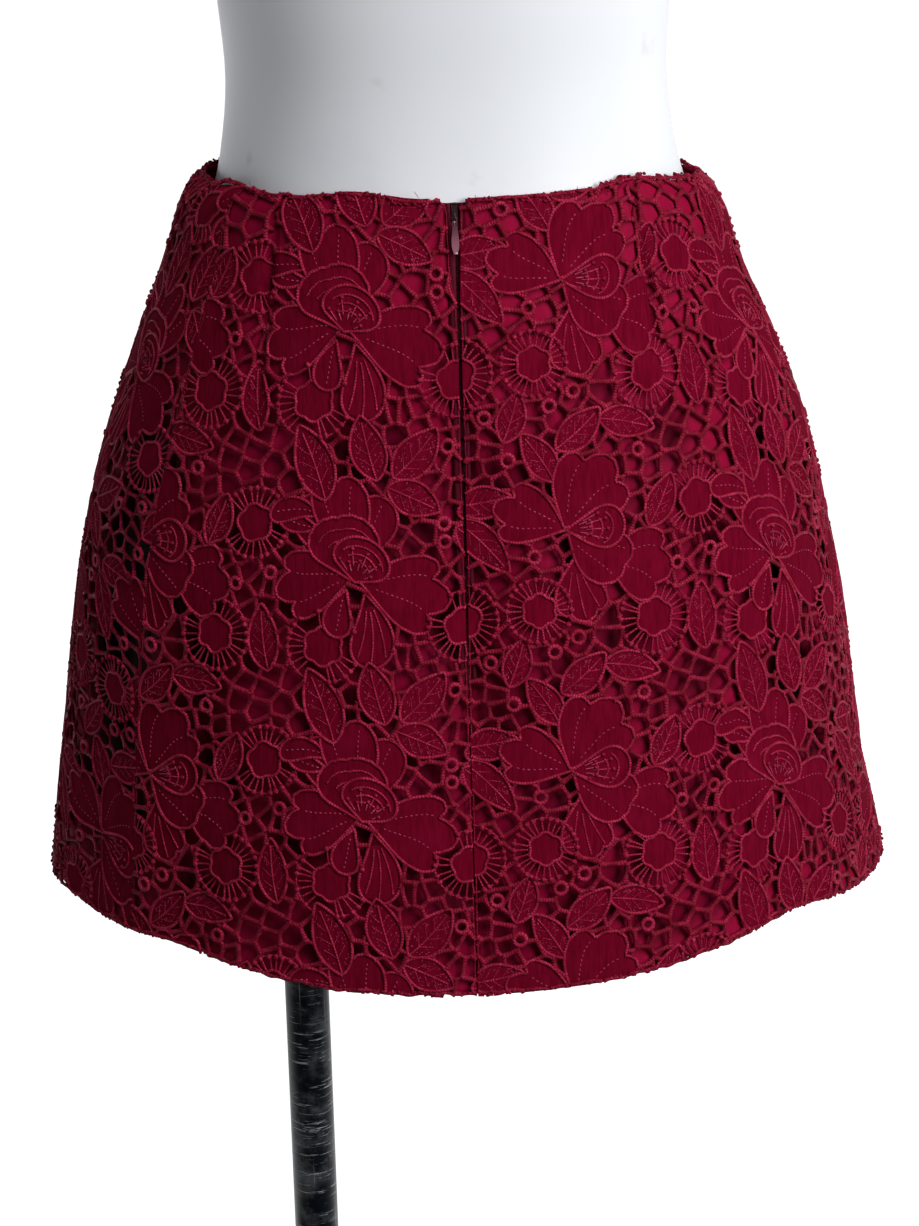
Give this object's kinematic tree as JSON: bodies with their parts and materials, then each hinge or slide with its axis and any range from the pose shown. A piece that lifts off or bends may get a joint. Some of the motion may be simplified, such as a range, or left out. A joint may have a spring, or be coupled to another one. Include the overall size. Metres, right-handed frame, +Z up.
{
  "type": "lace mini skirt on a limbless display form with a pole stand",
  "caption": "A-line mini skirt of floral cut-work lace over a plain lining, with a concealed back zip, worn by a smooth limbless display form on an off-centre pole and round base.",
  "frame": {"origin": "on the floor under the middle of the skirt's bounding box", "axes": "+Z up, the skirt's back with its zip faces -Y, the wearer's left is -X"},
  "size_m": [0.4469, 0.337, 0.906],
  "materials": {
    "lace": "matte wine-red woven petals with raised satin-stitched cords and open net",
    "lining": "plain crimson lining cloth with a soft sheen",
    "zip_tape": "dull knitted tape",
    "zip_coil": "satin nylon coil",
    "zip_slider": "dark enamel",
    "zip_pull_tab": "glossy mauve enamel",
    "form": "smooth white with faint marks",
    "form_plate": "painted board",
    "pole_socket": "dark steel",
    "stand_pole": "black paint with fine pale scuffs",
    "stand_base": "black powder coat"
  },
  "bodies": {
    "skirt_on_stand": {"lace_front": "lace", "lace_back_left": "lace", "lace_back_right": "lace", "lining_front": "lining", "lining_back_left": "lining", "lining_back_right": "lining", "zip_tape_left": "zip_tape", "zip_tape_right": "zip_tape", "zip_coil_left": "zip_coil", "zip_coil_right": "zip_coil", "zip_slider": "zip_slider", "form_shell": "form", "form_bottom_plate": "form_plate", "pole_socket": "pole_socket", "stand_pole": "stand_pole", "stand_base": "stand_base"},
    "pull_tab": {"zip_pull_tab": "zip_pull_tab"}
  },
  "joints": [
    {"name": "pull_tab_hinge", "type": "hinge", "parent": "skirt_on_stand", "child": "pull_tab", "pos_m": [0, -0.10095, 0.73023], "axis": [-1, 0, 0], "range_deg": [0, 140]}
  ]
}
